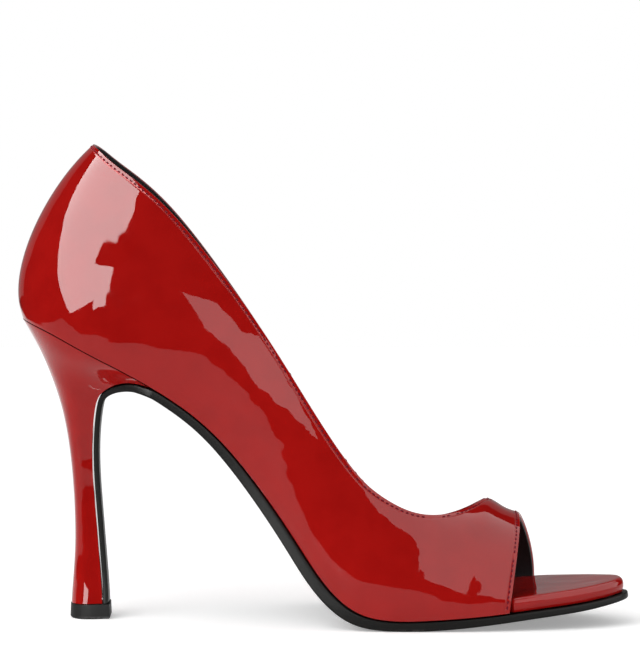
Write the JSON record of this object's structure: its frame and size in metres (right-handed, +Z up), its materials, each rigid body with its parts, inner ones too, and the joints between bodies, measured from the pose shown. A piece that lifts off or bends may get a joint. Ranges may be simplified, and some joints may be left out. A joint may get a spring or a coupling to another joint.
{
  "type": "peep toe pump",
  "caption": "Left peep toe pump in patent leather with an open toe, a low cut collar, a wrapped insole rim, a thin outsole and a tall covered stiletto heel.",
  "frame": {"origin": "centre of the heel tip's lower face, on the floor", "axes": "+X towards the toe, +Y towards the outer side of the left foot, +Z up"},
  "size_m": [0.2125, 0.0758, 0.1656],
  "materials": {
    "upper": "red patent leather, mirror gloss",
    "insole": "red patent leather wrap over board",
    "outsole": "black, satin",
    "heel": "red patent leather over a moulded block",
    "heel_tip": "black, matt"
  },
  "bodies": {
    "root": {"upper": "upper", "insole": "insole", "outsole": "outsole", "heel": "heel", "heel_tip": "heel_tip"}
  },
  "joints": []
}
